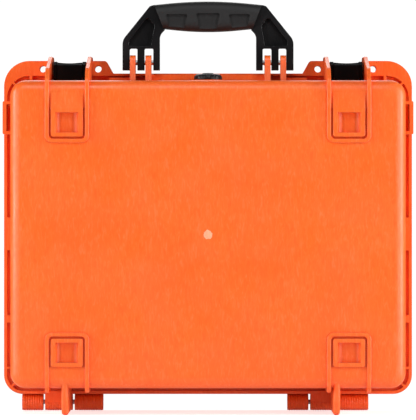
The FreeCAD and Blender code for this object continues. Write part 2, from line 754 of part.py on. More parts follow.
def handle_grip():
    """The rubber grip moulded over the handle's bar."""
    axis, end = handle_axis_height, prong_spans[0][0]
    points = [
        (-end - 5.7, axis + 57.3), (-end + 3.7, axis + 33.6), (0, axis + 29.2), (end - 3.7, axis + 33.6),
        (end + 5.7, axis + 57.3), (0, axis + 62.8),
    ]
    grip = plate_xz(points, [0, 0, 300, 0, 0, 400], handle_y - grip_half_depth, handle_y + grip_half_depth)
    long_edges = [
        e for e in grip.Edges
        if e.BoundBox.XLength > end and abs(e.BoundBox.YLength) < 1e-6
    ]
    grip = grip.makeFillet(9.0, long_edges)
    spacing = 0.65 * end
    for x, half, top in ((-spacing, 10.8, 47.8), (0, 12.0, 48.8), (spacing, 10.8, 47.8)):
        outline = [
            (x - half, axis + top), (x + half, axis + top), (x + half - 5, axis + 28), (x - half + 5, axis + 28),
        ]
        for t in sides:
            near, far = sorted((handle_y + t * (grip_half_depth - grip_recess), handle_y + t * (grip_half_depth + 1)))
            grip = grip.cut(plate_xz(outline, [1.5, 1.5, 0, 0], near, far))
    return grip.cut(handle_frame())


# ---- valve ---------------------------------------------------------------------------------------------------------
def valve_body():
    """The valve's threaded bush through the top wall."""
    bush = rod((0, valve_y, valve_bush_low), (0, 0, 1), valve_bore, valve_boss_top - valve_bush_low)
    collar = rod((0, valve_y, valve_boss_top), (0, 0, 1), 10.6, 1.4)
    return joined([bush, collar]).cut(
        rod((0, valve_y, valve_deep), (0, 0, 1), valve_stem_radius + running_clearance, 60)
    )


def valve_nut():
    """The hexagon nut that clamps the bush from inside."""
    height = wall_high - wall - valve_back * math.tan(draft)
    face = Part.Face(Part.makePolygon([
        Vector(11 * math.cos(math.radians(60 * k)), valve_y + 11 * math.sin(math.radians(60 * k)), height - 6.2)
        for k in range(7)
    ]))
    return face.extrude(Vector(0, 0, 5)).cut(rod((0, valve_y, valve_deep), (0, 0, 1), valve_bore, 60))


def valve_seal():
    """The sealing ring that the knob presses on the bush, with the stem that carries it."""
    ring = rod((0, valve_y, valve_boss_top + 1.5), (0, 0, 1), 8.6, 1.4)
    return ring.cut(rod((0, valve_y, valve_deep), (0, 0, 1), 4.4, 60))


def valve_knob():
    """The domed finger knob with its stem."""
    base = valve_boss_top + 0.3
    dome = rod((0, valve_y, base), (0, 0, 1), valve_knob_radius, valve_knob_rise - 1)
    rims = [e for e in dome.Edges if abs(e.CenterOfMass.z - base - valve_knob_rise + 1) < 0.01]
    dome = dome.makeFillet(4.2, rims)
    dome = dome.cut([
        rod((valve_knob_radius * math.cos(math.radians(20 * k)),
             valve_y + valve_knob_radius * math.sin(math.radians(20 * k)), base + 1.6), (0, 0, 1), 1.1, 8)
        for k in range(18)
    ])
    hub = rod((0, valve_y, base), (0, 0, 1), 5.4, valve_knob_rise)
    hollow = rod((0, valve_y, base - 1), (0, 0, 1), 11.4, 3.9)
    stem = rod((0, valve_y, valve_clip_low - 0.6), (0, 0, 1), valve_stem_radius, base - valve_clip_low + 3)
    core = rod((0, valve_y, base), (0, 0, 1), 4.1, 3)
    core = core.cut(rod((0, valve_y, base - 1), (0, 0, 1), 4.2, 2.3))
    return joined([joined([dome, hub]).cut(hollow), stem, core])


def valve_retainer():
    """The clip on the stem's lower end."""
    ring = rod((0, valve_y, valve_clip_low), (0, 0, 1), 5.4, valve_clip)
    return ring.cut(rod((0, valve_y, valve_deep), (0, 0, 1), valve_stem_radius, 60))


# ---- foam and supplies ---------------------------------------------------------------------------------------------
foam_half_width = wall_half_width - wall - foam_margin - (base_depth - wall) * math.tan(draft)
foam_low = wall_low + wall + foam_margin + (base_depth - wall) * math.tan(draft)
foam_high = wall_high - wall - foam_margin - (base_depth - wall) * math.tan(draft)
foam_face = y_part - foam_top
pocket_floor = foam_face - pocket_depth
foam_middle = (foam_low + foam_high) / 2
row_top = foam_high - 8 - roll_radius - item_gap
row_middle = foam_middle + 4.5
row_low = foam_middle - 87.5
box_pockets = {
    "dressings": (-173.0, -83.0, row_middle - 42, row_middle + 42),
    "plasters": (-71.0, 41.0, row_middle - 39, row_middle + 39),
    "blanket": (53.0, 173.0, row_middle - 39, row_middle + 39),
    "cold pack": (-173.0, -65.0, row_low - 38, row_low + 38),
    "tweezers": (-53.0, -20.0, row_low - 41, row_low + 41),
    "spare": (107.0, 173.0, row_low - 38, row_low + 38),
    "bottle": (64.0, 173.0, row_top - 24, row_top + 24),
}
roll_places = [(-146.0 + roll_spacing * k, row_top) for k in range(4)]
tape_places = [(17.0, row_low), (71.0, row_low)]


def base_foam():
    """The foam block in the base, with a pocket for each supply."""
    block_shape = rounded_slab(-foam_half_width, foam_half_width, foam_low, foam_high, foam_corner,
                               y_face + wall + foam_gap, foam_face)
    pockets = [
        rounded_slab(x0, x1, z0, z1, 4, pocket_floor, foam_face + 1) for x0, x1, z0, z1 in box_pockets.values()
    ]
    pockets += [
        rod((x, pocket_floor, z), (0, 1, 0), roll_radius + item_gap, pocket_depth + 1) for x, z in roll_places
    ]
    pockets += [
        rod((x, pocket_floor, z), (0, 1, 0), tape_radius + item_gap, pocket_depth + 1) for x, z in tape_places
    ]
    for s in sides:
        for height in (pad_height_top, pad_height_low):
            pockets.append(rounded_slab(
                s * latch_x - pad_half_width - foam_relief, s * latch_x + pad_half_width + foam_relief,
                height - pad_half_height - foam_relief, height + pad_half_height + foam_relief, pad_corner,
                y_face, y_pads + socket_depth + wall + foam_relief,
            ))
    pockets.append(block(-15, 15, valve_y - 15, foam_face + 1, valve_clip_low - 2, foam_high + 1))
    return block_shape.cut(pockets)


def lid_foam():
    """The foam pad in the lid."""
    return rounded_slab(-foam_half_width, foam_half_width, foam_low, foam_high, foam_corner,
                        y_part + lid_foam_top, y_lid_face - wall - foam_gap)


def bandage_rolls():
    """Four rolled bandages."""
    return Part.makeCompound([
        rod((x, pocket_floor + 0.2, z), (0, 1, 0), roll_radius, roll_length) for x, z in roll_places
    ])


def tape_spools():
    """Two spools of tape, each round a core tube."""
    made = []
    for x, z in tape_places:
        spool = rod((x, pocket_floor + 0.2, z), (0, 1, 0), tape_radius, tape_width)
        made.append(spool.cut(rod((x, pocket_floor - 5, z), (0, 1, 0), tape_core, tape_width + 10)))
    return Part.makeCompound(made)


def packs(name, count, thickness, gap, corner):
    """Flat packs stacked in a named pocket, front to back."""
    x0, x1, z0, z1 = box_pockets[name]
    return Part.makeCompound([
        rounded_slab(
            x0 + item_gap, x1 - item_gap, z0 + item_gap, z1 - item_gap, corner,
            pocket_floor + 0.2 + k * (thickness + gap), pocket_floor + 0.2 + k * (thickness + gap) + thickness,
        )
        for k in range(count)
    ])


def bottle():
    """(antiseptic bottle, its cap), lying along the row."""
    x0, x1, z0, z1 = box_pockets["bottle"]
    middle = (z0 + z1) / 2
    radius = (z1 - z0) / 2 - item_gap
    y = pocket_floor + radius + 0.3
    body = rod((x0 + item_gap, y, middle), (1, 0, 0), radius, 78)
    shoulder = [e for e in body.Edges if e.BoundBox.XLength < 1e-6]
    body = body.makeFillet(5, shoulder)
    neck = rod((x0 + 74, y, middle), (1, 0, 0), 9, 12)
    cap = rod((x0 + item_gap + 79, y, middle), (1, 0, 0), 13, 26)
    return joined([body, neck]), cap.cut(rod((x0 + 70, y, middle), (1, 0, 0), 9.2, 17))


def tweezers():
    """Sprung steel tweezers, points down."""
    x0, x1, z0, z1 = box_pockets["tweezers"]
    x = (x0 + x1) / 2
    low, high = z0 + 3, z1 - 3
    points = [
        (x - 8.5, low), (x - 7.1, low), (x - 6.2, low + 30), (x, high - 9), (x + 6.2, low + 30),
        (x + 7.1, low), (x + 8.5, low), (x + 8.2, low + 30), (x + 2.4, high), (x - 2.4, high), (x - 8.2, low + 30),
    ]
    radii = [0, 0, 20, 1.2, 20, 0, 0, 20, 2, 2, 20]
    return plate_xz(points, radii, pocket_floor + 0.3, pocket_floor + 9.3)


def write(name, shape):
    """One STEP file for one node."""
    shape.exportStep(f"parts/{name}.step")
    print(name, len(shape.Solids), round(shape.Volume), shape.isValid())


def main():
    """Builds every node."""
    os.makedirs("parts", exist_ok=True)
    write("base_shell", base_shell())
    write("lid_shell", lid_shell())
    write("gasket", gasket())
    write("handle_frame", handle_frame())
    write("handle_grip", handle_grip())
    write("valve_body", valve_body())
    write("valve_nut", valve_nut())
    write("valve_seal", valve_seal())
    write("valve_knob", valve_knob())
    write("valve_clip", valve_retainer())
    write("base_foam", base_foam())
    write("lid_foam", lid_foam())
    write("bandage_rolls", bandage_rolls())
    write("tape_spools", tape_spools())
    write("dressing_packs", packs("dressings", 3, 15.0, 0.4, 5.0))
    write("plaster_box", packs("plasters", 1, 32.0, 0.0, 0.6))
    write("rescue_blankets", packs("blanket", 2, 19.0, 0.4, 3.0))
    body, cap = bottle()
    write("antiseptic_bottle", body)
    write("bottle_cap", cap)
    write("cold_pack", packs("cold pack", 1, 30.0, 0.0, 8.0))
    write("tweezers", tweezers())
    for s, side in ((-1, "left"), (1, "right")):
        write(f"clasp_{side}", clasp(s))
        write(f"lever_{side}", lever(s))
        x = s * latch_x
        write(f"clasp_pin_{side}", rod((x - rail_outer, latch_y, latch_axis_height), (1, 0, 0), latch_pin_radius,
                                       2 * rail_outer))
        write(f"lever_pin_{side}", rod((x - latch_half_width, lever_y, lever_axis_height), (1, 0, 0),
                                       lever_pin_radius, 2 * latch_half_width))
        left = hinge_lefts[0] if s < 0 else hinge_lefts[1]
        write(f"hinge_pin_{side}", rod((left, y_part, knuckle_height), (1, 0, 0), hinge_pin_radius,
                                       hinge_length))
        near = s * (prong_spans[0][0] + 1) if s > 0 else s * (prong_spans[2][1] - 1)
        write(f"handle_pin_{side}", rod((near, handle_y, handle_axis_height), (1, 0, 0), handle_pin_radius,
                                        prong_spans[2][1] - prong_spans[0][0] - 2))


main()
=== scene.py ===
import logging
import math
import random
from dataclasses import dataclass, field
from enum import Enum
from typing import Callable, Sequence

import bmesh
import bpy
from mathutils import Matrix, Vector


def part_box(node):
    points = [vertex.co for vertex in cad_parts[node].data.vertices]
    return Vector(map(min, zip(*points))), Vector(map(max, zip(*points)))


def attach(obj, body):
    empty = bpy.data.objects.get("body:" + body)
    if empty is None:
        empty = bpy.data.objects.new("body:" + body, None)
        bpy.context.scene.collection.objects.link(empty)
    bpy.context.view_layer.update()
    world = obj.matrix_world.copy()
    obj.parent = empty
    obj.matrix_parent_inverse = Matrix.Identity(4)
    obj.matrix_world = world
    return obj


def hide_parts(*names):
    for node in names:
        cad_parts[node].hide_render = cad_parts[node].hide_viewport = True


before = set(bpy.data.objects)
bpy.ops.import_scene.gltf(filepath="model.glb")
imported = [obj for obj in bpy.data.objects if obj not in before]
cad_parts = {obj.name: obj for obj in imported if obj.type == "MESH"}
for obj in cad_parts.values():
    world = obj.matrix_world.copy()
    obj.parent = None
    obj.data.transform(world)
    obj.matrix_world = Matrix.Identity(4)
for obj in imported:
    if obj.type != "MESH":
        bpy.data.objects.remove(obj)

logging.basicConfig(level=logging.INFO, format="%(message)s")
log = logging.getLogger("first_aid_kit")

MM = 0.001
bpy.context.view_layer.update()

Point = tuple[float, float, float]
Face = tuple[int, ...]


class Side(Enum):
    """The two sides of the case."""

    LEFT = "left"
    RIGHT = "right"


class Axis(Enum):
    """An axis that a turned piece is turned about."""

    X = 0
    Y = 1
    Z = 2


# ---- colours and shader nodes ------------------------------------------------------------------------------------


def linear(hex_colour: str) -> tuple[float, float, float, float]:
    """Turns an sRGB hex colour to linear RGBA.

    Args:
        hex_colour: six hex digits, with no mark before them.

    Returns:
        Linear red, green, blue and an alpha of one.
    """
    channels = [int(hex_colour[i : i + 2], 16) / 255 for i in (0, 2, 4)]
    red, green, blue = (c / 12.92 if c <= 0.04045 else ((c + 0.055) / 1.055) ** 2.4 for c in channels)
    return (red, green, blue, 1.0)


def add_node(
    tree: bpy.types.NodeTree,
    kind: str,
    settings: dict | None = None,
    inputs: dict | None = None,
    links: dict | None = None,
) -> bpy.types.Node:
    """Adds one shader node with its settings, socket values and links.

    Args:
        tree: the node tree.
        kind: the node's type, without "ShaderNode".
        settings: attributes of the node.
        inputs: constant values, by socket name or number.
        links: output sockets to link, by socket name or number.

    Returns:
        The new node.
    """
    node = tree.nodes.new("ShaderNode" + kind)
    for key, value in (settings or {}).items():
        setattr(node, key, value)
    for key, value in (inputs or {}).items():
        node.inputs[key].default_value = value
    for key, socket in (links or {}).items():
        tree.links.new(socket, node.inputs[key])
    return node


@dataclass(frozen=True)
class Finish:
    """What every finish has in common: a name, a colour, a second colour and a roughness."""

    name: str
    colour: str
    second: str
    roughness: float

    def start(self) -> tuple[bpy.types.Material, bpy.types.NodeTree, bpy.types.Node, bpy.types.NodeSocket]:
        """Makes an empty material.

        Returns:
            The material, its tree, its surface shader and the object's coordinates in metres.
        """
        material = bpy.data.materials.new(self.name)
        material.use_nodes = True
        tree = material.node_tree
        shader = tree.nodes["Principled BSDF"]
        place = add_node(tree, "TexCoord").outputs["Object"]
        material.diffuse_color = linear(self.colour)
        return material, tree, shader, place

    def mottle(
        self, tree: bpy.types.NodeTree, place: bpy.types.NodeSocket, size_mm: float, share: float
    ) -> bpy.types.NodeSocket:
        """A slow drift between the finish's two colours.

        Args:
            tree: the node tree.
            place: coordinates in metres.
            size_mm: size of the patches.
            share: how much of the second colour shows at most.

        Returns:
            The colour socket.
        """
        patches = add_node(tree, "TexNoise", inputs={"Scale": 1 / (size_mm * MM), "Detail": 4.0}, links={0: place})
        amount = add_node(
            tree, "MapRange", inputs={1: 0.3, 2: 0.75, 3: 0.0, 4: share}, links={0: patches.outputs[0]}
        )
        mix = add_node(
            tree, "Mix", {"data_type": "RGBA"}, {6: linear(self.colour), 7: linear(self.second)},
            {0: amount.outputs[0]},
        )
        return mix.outputs[2]


@dataclass(frozen=True)
class MouldedPlastic(Finish):
    """Injection-moulded plastic with a spark-eroded grain, soft mould edges, scuffs where it is handled, and painted
    shade in its grooves and corners.
    """

    grain_mm: float = 1.1
    grain_depth_mm: float = 0.035
    edge_mm: float = 0.6
    wear: str = "FFFFFF"
    wear_share: float = 0.25
    roughness_spread: float = 0.10
    specular: float = 0.5
    flow: float = 0.0
    # deep and the share field after it: the colour of the painted shade in grooves and corners, and how much of it
    # shows at most.
    deep: str = "000000"
    painted_shade_share: float = 0.0

    def make(self) -> bpy.types.Material:
        """Makes the material."""
        material, tree, shader, place = self.start()
        # The mould's soft edges catch the light as a thin bright line.
        soft = add_node(tree, "Bevel", {"samples": 4}, {"Radius": self.edge_mm * MM})
        plain = add_node(tree, "NewGeometry")
        likeness = add_node(
            tree, "VectorMath", {"operation": "DOT_PRODUCT"},
            links={0: soft.outputs[0], 1: plain.outputs["Normal"]},
        )
        edge = add_node(tree, "MapRange", inputs={1: 0.995, 2: 0.93, 3: 0.0, 4: 1.0}, links={0: likeness.outputs["Value"]})
        rubbed = add_node(tree, "TexNoise", inputs={"Scale": 1 / (9 * MM), "Detail": 6.0}, links={0: place})
        patchy = add_node(tree, "MapRange", inputs={1: 0.45, 2: 0.7, 3: 0.0, 4: 1.0}, links={0: rubbed.outputs[0]})
        worn = add_node(tree, "Math", {"operation": "MULTIPLY"}, links={0: edge.outputs[0], 1: patchy.outputs[0]})
        share = add_node(tree, "Math", {"operation": "MULTIPLY"}, {1: self.wear_share}, {0: worn.outputs[0]})
        base = self.mottle(tree, place, 70, 0.55)
        # Melt that cooled as it flowed leaves faint upright streaks, lighter and darker.
        stretched = add_node(tree, "Mapping", inputs={"Scale": (1.0, 1.0, 0.22)}, links={0: place})
        streaks = add_node(
            tree, "TexNoise", inputs={"Scale": 1 / (2.2 * MM), "Detail": 6.0, "Distortion": 1.2},
            links={0: stretched.outputs[0]},
        )
        streak_share = add_node(
            tree, "MapRange", inputs={1: 0.5, 2: 0.3, 3: 0.0, 4: self.flow}, links={0: streaks.outputs[0]}
        )
        streaked = add_node(
            tree, "Mix", {"data_type": "RGBA"}, {7: linear(self.second)}, {0: streak_share.outputs[0], 6: base}
        )
        veins = add_node(
            tree, "MapRange", inputs={1: 0.52, 2: 0.72, 3: 0.0, 4: self.flow * 0.22}, links={0: streaks.outputs[0]}
        )
        veined = add_node(
            tree, "Mix", {"data_type": "RGBA"}, {7: linear(self.wear)}, {0: veins.outputs[0], 6: streaked.outputs[2]}
        )
        colour = add_node(
            tree, "Mix", {"data_type": "RGBA"}, {7: linear(self.wear)}, {0: share.outputs[0], 6: veined.outputs[2]}
        )
        # Painted shade: where the ambient occlusion node finds a groove or corner, the colour is pushed towards the
        # darker deep colour. It stands in for the plastic lighting itself over and over there.
        painted_shade_occlusion = add_node(tree, "AmbientOcclusion", {"samples": 6}, {"Distance": 4 * MM})
        painted_shade_amount = add_node(
            tree, "MapRange", inputs={1: 0.8, 2: 0.25, 3: 0.0, 4: self.painted_shade_share}, links={0: painted_shade_occlusion.outputs["AO"]}
        )
        colour_with_painted_shade = add_node(
            tree, "Mix", {"data_type": "RGBA"}, {7: linear(self.deep)}, {0: painted_shade_amount.outputs[0], 6: colour.outputs[2]}
        )
        grain = add_node(tree, "TexNoise", inputs={"Scale": 1 / (self.grain_mm * MM), "Detail": 3.0}, links={0: place})
        relief = add_node(
            tree, "Bump", inputs={"Strength": 1.0, "Distance": self.grain_depth_mm * MM},
            links={"Height": grain.outputs[0], "Normal": soft.outputs[0]},
        )
        handled = add_node(tree, "TexNoise", inputs={"Scale": 1 / (38 * MM), "Detail": 7.0}, links={0: place})
        rough = add_node(
            tree, "MapRange",
            inputs={1: 0.3, 2: 0.7, 3: self.roughness - self.roughness_spread, 4: self.roughness + self.roughness_spread},
            links={0: handled.outputs[0]},
        )
        shader.inputs["IOR"].default_value = 1.49
        shader.inputs["Specular IOR Level"].default_value = self.specular
        tree.links.new(colour_with_painted_shade.outputs[2], shader.inputs["Base Color"])
        tree.links.new(rough.outputs[0], shader.inputs["Roughness"])
        tree.links.new(relief.outputs[0], shader.inputs["Normal"])
        return material


@dataclass(frozen=True)
class GroundSteel(Finish):
    """Ground and plated steel: fine rings round the pin and a few dull spots."""

    def make(self) -> bpy.types.Material:
        """Makes the material."""
        material, tree, shader, place = self.start()
        turned = add_node(tree, "Mapping", inputs={"Scale": (1.0, 0.05, 0.05)}, links={0: place})
        rings = add_node(tree, "TexNoise", inputs={"Scale": 1 / (0.6 * MM), "Detail": 4.0}, links={0: turned.outputs[0]})
        rough = add_node(
            tree, "MapRange", inputs={1: 0.3, 2: 0.7, 3: self.roughness - 0.08, 4: self.roughness + 0.12},
            links={0: rings.outputs[0]},
        )
        relief = add_node(tree, "Bump", inputs={"Distance": 0.01 * MM}, links={"Height": rings.outputs[0]})
        shader.inputs["Metallic"].default_value = 1.0
        tree.links.new(self.mottle(tree, place, 6, 0.5), shader.inputs["Base Color"])
        tree.links.new(rough.outputs[0], shader.inputs["Roughness"])
        tree.links.new(relief.outputs[0], shader.inputs["Normal"])
        return material


@dataclass(frozen=True)
class SoftSurface(Finish):
    """Foam, rubber, paper or board: a matte face with a fine relief of pores, fibres or pebbles."""

    relief_mm: float = 1.0
    depth_mm: float = 0.1
    cells: bool = False
    sheen: float = 0.0
    patch_mm: float = 40.0

    def make(self) -> bpy.types.Material:
        """Makes the material."""
        material, tree, shader, place = self.start()
        if self.cells:
            relief_map = add_node(tree, "TexVoronoi", inputs={"Scale": 1 / (self.relief_mm * MM)}, links={0: place})
        else:
            relief_map = add_node(
                tree, "TexNoise", inputs={"Scale": 1 / (self.relief_mm * MM), "Detail": 5.0}, links={0: place}
            )
        relief = add_node(
            tree, "Bump", inputs={"Distance": self.depth_mm * MM}, links={"Height": relief_map.outputs[0]}
        )
        rough = add_node(
            tree, "MapRange", inputs={1: 0.0, 2: 1.0, 3: self.roughness - 0.08, 4: self.roughness + 0.08},
            links={0: relief_map.outputs[0]},
        )
        shader.inputs["Sheen Weight"].default_value = self.sheen
        tree.links.new(self.mottle(tree, place, self.patch_mm, 0.6), shader.inputs["Base Color"])
        tree.links.new(rough.outputs[0], shader.inputs["Roughness"])
        tree.links.new(relief.outputs[0], shader.inputs["Normal"])
        return material


@dataclass(frozen=True)
class WovenCloth(Finish):
    """Plain-woven gauze or tape: threads across and along, a little open between them."""

    thread_mm: float = 1.2
    depth_mm: float = 0.15

    def make(self) -> bpy.types.Material:
        """Makes the material."""
        material, tree, shader, place = self.start()
        scale = 1 / (self.thread_mm * MM)
        waves = [
            add_node(
                tree, "TexWave", {"bands_direction": way}, {"Scale": scale / 3, "Distortion": 1.5, "Detail": 2.0},
                {0: place},
            )
            for way in ("X", "Y", "Z")
        ]
        first = add_node(tree, "Math", {"operation": "MAXIMUM"}, links={0: waves[0].outputs[1], 1: waves[1].outputs[1]})
        weave = add_node(tree, "Math", {"operation": "MAXIMUM"}, links={0: first.outputs[0], 1: waves[2].outputs[1]})
        relief = add_node(tree, "Bump", inputs={"Distance": self.depth_mm * MM}, links={"Height": weave.outputs[0]})
        tone = add_node(
            tree, "Mix", {"data_type": "RGBA"}, {6: linear(self.second)},
            {0: weave.outputs[0], 7: self.mottle(tree, place, 30, 0.3)},
        )
        shader.inputs["Roughness"].default_value = self.roughness
        shader.inputs["Sheen Weight"].default_value = 0.3
        tree.links.new(tone.outputs[2], shader.inputs["Base Color"])
        tree.links.new(relief.outputs[0], shader.inputs["Normal"])
        return material


@dataclass(frozen=True)
class CrinkledFilm(Finish):
    """Thin film or foil: glossy, with creases from folding and handling."""

    metallic: float = 0.0
    crease_mm: float = 9.0
    crease_depth_mm: float = 0.8

    def make(self) -> bpy.types.Material:
        """Makes the material."""
        material, tree, shader, place = self.start()
        creases = add_node(
            tree, "TexVoronoi", {"feature": "DISTANCE_TO_EDGE"}, {"Scale": 1 / (self.crease_mm * MM)}, {0: place}
        )
        ripple = add_node(tree, "TexNoise", inputs={"Scale": 1 / (5 * MM), "Detail": 4.0}, links={0: place})
        both = add_node(tree, "Math", {"operation": "ADD"}, links={0: creases.outputs[0], 1: ripple.outputs[0]})
        relief = add_node(tree, "Bump", inputs={"Distance": self.crease_depth_mm * MM}, links={"Height": both.outputs[0]})
        shader.inputs["Metallic"].default_value = self.metallic
        shader.inputs["Roughness"].default_value = self.roughness
        tree.links.new(self.mottle(tree, place, 25, 0.5), shader.inputs["Base Color"])
        tree.links.new(relief.outputs[0], shader.inputs["Normal"])
        return material


@dataclass(frozen=True)
class LitSheet(Finish):
    """Opal acrylic sheet lit from below."""

    glow: float = 0.15
    seen_glow: float = 0.75

    def make(self) -> bpy.types.Material:
        """Makes the material."""
        material, tree, shader, place = self.start()
        shader.inputs["Roughness"].default_value = self.roughness
        shader.inputs["Emission Color"].default_value = linear(self.second)
        # The eye sees the sheet glow evenly, while its own light on the case stays faint.
        seen = add_node(tree, "LightPath")
        strength = add_node(
            tree, "MapRange", inputs={1: 0.0, 2: 1.0, 3: self.glow, 4: self.seen_glow},
            links={0: seen.outputs["Is Camera Ray"]},
        )
        tree.links.new(strength.outputs[0], shader.inputs["Emission Strength"])
        tree.links.new(self.mottle(tree, place, 400, 0.4), shader.inputs["Base Color"])
        return material


# Safety-orange polypropylene: saturated and slightly waxy, with a grain that spreads each highlight, and a deeper red
# painted shade in its grooves and corners.
ORANGE_SHELL = MouldedPlastic(
    "moulded_polypropylene_orange", "F4691F", "F05A18", 0.42, grain_mm=1.6, grain_depth_mm=0.07,
    wear="FFA07A", wear_share=0.12, flow=0.7, deep="DC3A10", painted_shade_share=0.6,
)
# Glass-filled nylon: near black, a fine grain and grey rubbed edges.
BLACK_NYLON = MouldedPlastic(
    "moulded_nylon_black", "09090B", "101012", 0.40, grain_mm=1.3, grain_depth_mm=0.12, wear="4A4A4C",
    wear_share=0.35, specular=0.35,
)
# Acetal: smoother to the touch than the handle's nylon, and a deeper black.
LATCH_NYLON = MouldedPlastic(
    "moulded_acetal_black", "050506", "080809", 0.34, grain_mm=0.8, grain_depth_mm=0.02, wear="3A3A3C",
    wear_share=0.3, specular=0.18,
)
# Soft overmoulded rubber: darker and duller than the nylon beside it.
GRIP_RUBBER = SoftSurface("overmoulded_rubber_black", "0A0A0B", "111112", 0.62, relief_mm=1.3, depth_mm=0.14)
SEAL_RUBBER = SoftSurface("neoprene_cord", "151516", "1D1D1F", 0.7, relief_mm=0.8, depth_mm=0.05)
# The torn stub of the injection gate: pale where the plastic was stressed.
GATE_STUB = SoftSurface("stress_whitened_polypropylene", "F8BC98", "F08A58", 0.75, relief_mm=1.3, depth_mm=0.4)
PIN_STEEL = GroundSteel("ground_zinc_plated_steel", "B9BBBE", "9A9C9F", 0.32)
TOOL_STEEL = GroundSteel("satin_stainless_steel", "C9CACC", "ADAFB2", 0.28)
CASE_FOAM = SoftSurface(
    "polyurethane_foam_charcoal", "2B2C2F", "35363A", 0.95, relief_mm=1.6, depth_mm=0.6, cells=True, sheen=0.25,
)
GAUZE = WovenCloth("crepe_cotton_bandage", "F0EADC", "CFC4AE", 0.9)
TAPE_CLOTH = WovenCloth("zinc_oxide_cloth_tape", "DDBE97", "BF9C74", 0.8, thread_mm=0.8, depth_mm=0.08)
TAPE_CORE = SoftSurface("moulded_paper_tube", "E9E6DE", "D6D1C4", 0.8, relief_mm=0.7, depth_mm=0.05)
POUCH_PAPER = SoftSurface("medical_kraft_paper", "E8EDF0", "D5DEE4", 0.8, relief_mm=0.6, depth_mm=0.05)
CARTON = SoftSurface("coated_carton_board", "F1F1EC", "E2E2DB", 0.45, relief_mm=0.7, depth_mm=0.02)
CARTON_BAND = SoftSurface("green_printed_board", "17935A", "12824E", 0.42, relief_mm=0.7, depth_mm=0.02)
BLANKET_FOIL = CrinkledFilm("metallised_polyester_foil", "D9B45A", "E8C873", 0.22, metallic=1.0)
COLD_POUCH = CrinkledFilm("polyethylene_pouch_blue", "3F8FC4", "57A4D4", 0.3, crease_mm=16, crease_depth_mm=0.5)
BOTTLE_PLASTIC = MouldedPlastic(
    "blow_moulded_polyethylene", "ECEAE2", "E2DFD4", 0.38, wear="FFFFFF", wear_share=0.1, grain_depth_mm=0.01,
)
CAP_PLASTIC = MouldedPlastic("moulded_cap_blue", "1F5FA8", "1B569A", 0.35, wear="7FA9D6", wear_share=0.3)
LABEL_PAPER = SoftSurface("printed_paper_label", "2FA07A", "2A9270", 0.5, relief_mm=0.7, depth_mm=0.02)
# Opal acrylic on the bench: its glow leaves only a faint shadow under the case.
BENCH_SHEET = LitSheet("matt_opal_acrylic", "F4F4F3", "F8F8F7", 0.9)


class Paintshop:
    """Makes each material once."""

    def __init__(self) -> None:
        """Starts with no materials."""
        self.made: dict[str, bpy.types.Material] = {}

    def get(self, finish: Finish) -> bpy.types.Material:
        """The material of a finish."""
        if finish.name not in self.made:
            self.made[finish.name] = finish.make()
        return self.made[finish.name]


PAINT = Paintshop()


# ---- meshes ------------------------------------------------------------------------------------------------------


@dataclass
class MeshBuilder:
    """Gathers points and faces for one piece."""

    points: list[Point] = field(default_factory=list)
    faces: list[Face] = field(default_factory=list)
    slots: list[int] = field(default_factory=list)

    def add(self, points: Sequence[Point], faces: Sequence[Face], slot: int = 0) -> None:
        """Adds points and faces that count from those points.

        Args:
            points: the new points.
            faces: faces, as numbers of the new points.
            slot: material slot of the new faces.
        """
        start = len(self.points)
        self.points += [tuple(p) for p in points]
        self.faces += [tuple(i + start for i in f) for f in faces]
        self.slots += [slot] * len(faces)

    def rows(self, rows: Sequence[Sequence[Point]], close_row: bool = True, caps: bool = True, slot: int = 0) -> None:
        """Adds a skin through rows of points.

        Args:
            rows: rows with the same number of points.
            close_row: whether each row closes on itself.
            caps: whether the first and last row are filled.
            slot: material slot of the new faces.
        """
        width = len(rows[0])
        count = width if close_row else width - 1
        faces = [
            (r * width + i, r * width + (i + 1) % width, (r + 1) * width + (i + 1) % width, (r + 1) * width + i)
            for r in range(len(rows) - 1)
            for i in range(count)
        ]
        if caps:
            faces.append(tuple(range(width - 1, -1, -1)))
            faces.append(tuple((len(rows) - 1) * width + i for i in range(width)))
        self.add([p for row in rows for p in row], faces, slot)

    def piece(self, name: str, body: str, finishes: Sequence[Finish], smooth: float = 40.0) -> bpy.types.Object:
        """Makes the piece, and makes it ride on a body.

        Args:
            name: the piece's name.
            body: the body it moves with.
            finishes: one finish for each material slot used.
            smooth: largest angle between faces that still shade as one, in degrees.

        Returns:
            The new object.
        """
        mesh = bpy.data.meshes.new(name)
        mesh.from_pydata(self.points, [], self.faces)
        mesh.validate()
        for finish in finishes:
            mesh.materials.append(PAINT.get(finish))
        if len(mesh.polygons) == len(self.slots):
            mesh.polygons.foreach_set("material_index", self.slots)
        tidy_normals(mesh)
        mesh.polygons.foreach_set("use_smooth", [True] * len(mesh.polygons))
        mesh.set_sharp_from_angle(angle=math.radians(smooth))
        made = bpy.data.objects.new(name, mesh)
        bpy.context.scene.collection.objects.link(made)
        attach(made, body)
        log.info("%s: %d faces on %s", name, len(mesh.polygons), body)
        return made


def tidy_normals(mesh: bpy.types.Mesh) -> None:
    """Turns every face of a closed mesh outwards."""
    work = bmesh.new()
    work.from_mesh(mesh)
    bmesh.ops.recalc_face_normals(work, faces=work.faces)
    work.to_mesh(mesh)
    work.free()


def rounded_rectangle(half_x: float, half_z: float, radius: float, steps: int = 8) -> list[tuple[float, float]]:
    """Points round a rectangle with rounded corners.

    Args:
        half_x: half its width.
        half_z: half its height.
        radius: corner radius.
        steps: points on each corner, less one.

    Returns:
        Points in order, about the middle.
    """
    made = []
    for corner, (sx, sz) in enumerate(((1, 1), (-1, 1), (-1, -1), (1, -1))):
        for k in range(steps + 1):
            angle = math.pi / 2 * (corner + k / steps)
            made.append((
                sx * (half_x - radius) + radius * math.cos(angle),
                sz * (half_z - radius) + radius * math.sin(angle),
            ))
    return made


